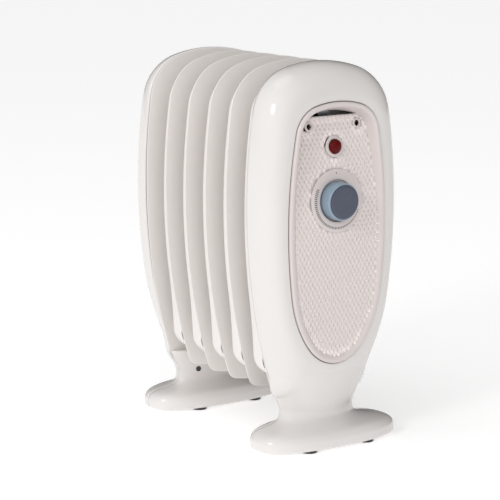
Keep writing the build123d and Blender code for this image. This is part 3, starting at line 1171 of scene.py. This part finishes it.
    def build_seat(
        self, name: str, x: float, z: float, hole: float, rim: float, depth: float
    ) -> bpy.types.Object:
        """Make a smooth round seat with a hole in it.

        Args:
            name: name of the piece.
            x: place across.
            z: height.
            hole: radius of the hole.
            rim: outer radius.
            depth: how far the hole goes in.

        Returns:
            The seat.
        """
        draft = Draft()
        turns = np.linspace(0, 2 * math.pi, 64, endpoint=False)
        top = 0.15
        profile = (
            (hole, -depth),
            (hole, top - 0.5),
            (hole + 0.15, top - 0.15),
            (hole + 0.5, top),
            (rim - 0.8, top),
            (rim - 0.25, top - 0.2),
            (rim, top - 0.7),
            (rim, -1.2),
        )
        rings = []
        for radius, rise in profile:
            points = []
            for turn in turns:
                high = z + radius * math.sin(turn)
                points.append((x + radius * math.cos(turn), self.plate_y(high) - rise, high))
            rings.append(draft.row(points))
        draft.bridge_all(rings)
        return draft.piece(name, BODY, "panel_plastic", PANEL, 35.0)


# ---------------------------------------------------------------- knob and lamp


@dataclass
class Knob:
    """The thermostat knob: a blue-grey skirt and a slate cap, turned about the Y axis."""

    segments: int = 192

    def build(self) -> None:
        """Make the skirt and the cap."""
        low, high = node_box("knob")
        cap_low, _ = node_box("knob_cap")
        centre = Vector(((low.x + high.x) / 2, 0, (low.z + high.z) / 2))
        radius = (high.x - low.x) / 2
        front, back = low.y, high.y
        skirt = [
            (4.0, back),
            (radius - 0.8, back),
            (radius - 0.2, back - 0.2),
            (radius, back - 0.8),
            (radius - 0.35, front + 3.2),
            (radius - 0.6, front + 1.6),
            (radius - 1.3, front + 0.5),
            (radius - 2.2, front + 0.1),
            (radius - 2.5, front + 1.2),
            (4.0, front + 1.4),
        ]
        self.turned("knob_skirt", "knob", skirt, centre, "knob_plastic", KNOB_SIDE)
        cap_front = cap_low.y
        cap = [
            (0.4, cap_front + 0.25),
            (9.0, cap_front + 0.12),
            (14.6, cap_front),
            (15.9, cap_front + 0.15),
            (16.6, cap_front + 0.6),
            (16.9, cap_front + 1.4),
            (16.9, cap_front + 3.2),
            (0.4, cap_front + 3.2),
        ]
        self.turned("knob_cap_disc", "knob_cap", cap, centre, "cap_plastic", KNOB_CAP)

    def turned(
        self,
        name: str,
        node: str,
        profile: list[tuple[float, float]],
        centre: Vector,
        slot: str,
        finish: Finish,
    ) -> None:
        """Make a turned piece.

        Args:
            name: name of the piece.
            node: CAD node that it stands for.
            profile: radius and depth of each ring.
            centre: point on its axis.
            slot: material slot.
            finish: how it looks.
        """
        draft = Draft()
        turns = np.linspace(0, 2 * math.pi, self.segments, endpoint=False)
        rings = []
        for radius, y in profile:
            ring = [(centre.x + radius * math.cos(t), y, centre.z + radius * math.sin(t)) for t in turns]
            rings.append(draft.row(ring))
        draft.bridge_all(rings)
        draft.cap(rings[0])
        draft.cap(rings[-1])
        piece = draft.piece(name, KNOB_BODY, slot, finish, 35.0)
        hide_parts(node)


@dataclass
class LampLens:
    """The neon lamp's lens: a dome with a stepped foot."""

    segments: int = 96
    radius: float = 7.3
    dome_depth: float = 3.7

    def build(self) -> None:
        """Make the lens at its node's place."""
        low, high = node_box("lamp_lens")
        height = (low.z + high.z) / 2
        foot = low.y + self.dome_depth
        draft = Draft()
        turns = np.linspace(0, 2 * math.pi, self.segments, endpoint=False)
        arc = np.linspace(0.03, math.pi / 2, 18)
        profile = [(self.radius * math.sin(t), foot - self.dome_depth * math.cos(t)) for t in arc]
        profile += [(self.radius, foot + 0.6), (6.0, foot + 0.8), (6.0, high.y)]
        rings = []
        for radius, y in profile:
            ring = [(radius * math.cos(t), y, height + radius * math.sin(t)) for t in turns]
            rings.append(draft.row(ring))
        draft.bridge_all(rings)
        draft.cap(rings[0])
        draft.cap(rings[-1])
        piece = draft.piece("neon_lens", BODY, "lamp_red", LAMP, 40.0)
        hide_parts("lamp_lens")


# ---------------------------------------------------------------- carried-over nodes


class KeptNodes:
    """The CAD nodes that stay as they are and only get their finish."""

    def dress(self) -> None:
        """Give every node that is still shown the finish of its material slot."""
        slots = {entry["node"]: entry["material_slot"] for entry in frame["record"]["subparts"]}
        for name, made in frame["nodes"].items():
            if made.hide_render:
                continue
            made.data.materials.clear()
            made.data.materials.append(SLOT_FINISHES[slots[name]].build())
            made.data.polygons.foreach_set("use_smooth", [True] * len(made.data.polygons))
            made.data.set_sharp_from_angle(angle=math.radians(30))
            log.info("%s keeps its shape", name)


# ---------------------------------------------------------------- studio


@dataclass(frozen=True)
class SoftLight:
    """A square soft light: where it stands in metres, its side in metres and its power in watts."""

    name: str
    place: tuple[float, float, float]
    size: float
    power: float

    def build(self, aim: tuple[float, float, float]) -> None:
        """Make the light.

        Args:
            aim: what it points at.
        """
        light = bpy.data.lights.new(self.name, "AREA")
        light.size = self.size
        light.energy = self.power
        lamp = bpy.data.objects.new(self.name, light)
        lamp.location = self.place
        lamp.rotation_mode = "QUATERNION"
        lamp.rotation_quaternion = (Vector(aim) - Vector(self.place)).to_track_quat("-Z", "Y")
        bpy.context.scene.collection.objects.link(lamp)


@dataclass
class Studio:
    """Pale floor, soft lights and the camera."""

    camera_place: tuple[float, float, float] = (-1.1837, -1.6792, 0.5717)
    camera_aim: tuple[float, float, float] = (0.5594, 0.8079, -0.1853)
    lens: float = 142.4
    sensor: float = 36.0
    bright_side: tuple[float, float, float] = (-0.80, -0.50, 0.34)
    sky_dim: float = 0.01
    sky_bright: float = 1.08
    dim_from: float = -0.65
    floor_half: float = 20.0
    floor_glow: float = 0.40
    aim: tuple[float, float, float] = (0.0, 0.0, 0.2)
    lights: tuple[SoftLight, ...] = (
        SoftLight("key", (-2.4, -0.8, 1.5), 0.6, 14.0),
        SoftLight("top", (-0.5, 0.3, 2.6), 1.4, 5.0),
    )

    def build(self) -> None:
        """Make the floor, the lights, the surroundings and the camera."""
        self.build_floor()
        for light in self.lights:
            light.build(self.aim)
        self.build_sky()
        bpy.context.scene.view_settings.view_transform = "Standard"
        self.build_camera()

    def build_sky(self) -> None:
        """Make the surroundings: brightest towards the left of the heater, dim on its right."""
        world = bpy.data.worlds.new("studio")
        bpy.context.scene.world = world
        world.use_nodes = True
        tree = world.node_tree
        sky = tree.nodes["Background"]
        sky.inputs["Color"].default_value = (1, 1, 1, 1)
        direction = tree.nodes.new("ShaderNodeTexCoord").outputs["Generated"]
        facing = tree.nodes.new("ShaderNodeVectorMath")
        facing.operation = "DOT_PRODUCT"
        facing.inputs[1].default_value = self.bright_side
        tree.links.new(direction, facing.inputs[0])
        level = tree.nodes.new("ShaderNodeMapRange")
        tree.links.new(facing.outputs["Value"], level.inputs["Value"])
        level.inputs["From Min"].default_value = self.dim_from
        level.inputs["To Min"].default_value = self.sky_dim
        level.inputs["To Max"].default_value = self.sky_bright
        tree.links.new(level.outputs["Result"], sky.inputs["Strength"])

    def build_floor(self) -> None:
        """Make the floor."""
        half = self.floor_half
        corners = [(-half, -half, 0), (half, -half, 0), (half, half, 0), (-half, half, 0)]
        mesh = bpy.data.meshes.new("floor")
        mesh.from_pydata(corners, [], [(0, 1, 2, 3)])
        floor = bpy.data.objects.new("floor", mesh)
        bpy.context.scene.collection.objects.link(floor)
        paper = Finish("floor_paper", (0.90, 0.90, 0.90), 0.9, tint_spread=0.005, specular=0.1)
        material = paper.build()
        shader = material.node_tree.nodes["Principled BSDF"]
        shader.inputs["Emission Color"].default_value = (1, 1, 1, 1)
        shader.inputs["Emission Strength"].default_value = self.floor_glow
        mesh.materials.append(material)

    def build_camera(self) -> None:
        """Make the camera."""
        data = bpy.data.cameras.new("camera")
        data.lens = self.lens
        data.sensor_width = self.sensor
        camera = bpy.data.objects.new("camera", data)
        camera.location = self.camera_place
        camera.rotation_mode = "QUATERNION"
        camera.rotation_quaternion = Vector(self.camera_aim).to_track_quat("-Z", "Y")
        bpy.context.scene.collection.objects.link(camera)
        bpy.context.scene.camera = camera


def main() -> None:
    """Build the whole heater and its studio."""
    logging.basicConfig(level=logging.INFO, format="%(name)s: %(message)s")
    front = EndCover(
        "front_cover",
        "front_cover",
        "front_inner_leg",
        Side.FRONT,
        seam=node_box("front_cover")[1].y,
        depth=36.5,
        face=FRONT_FACE,
        foot_shift=14.5,
        inner_top=47.0,
        recess=RECESS,
    )
    rear = EndCover(
        "rear_cover",
        "rear_cover",
        "rear_inner_leg",
        Side.REAR,
        seam=node_box("rear_cover")[0].y,
        depth=34.7,
        face=REAR_FACE,
        foot_shift=-2.7,
        inner_top=62.0,
        inner_face=2.0,
    )
    for cover in (front, rear):
        cover.build()
    Sections().build()
    ControlPanel().build()
    Knob().build()
    LampLens().build()
    KeptNodes().dress()
    Studio().build()


if __name__ == "__main__":
    main()
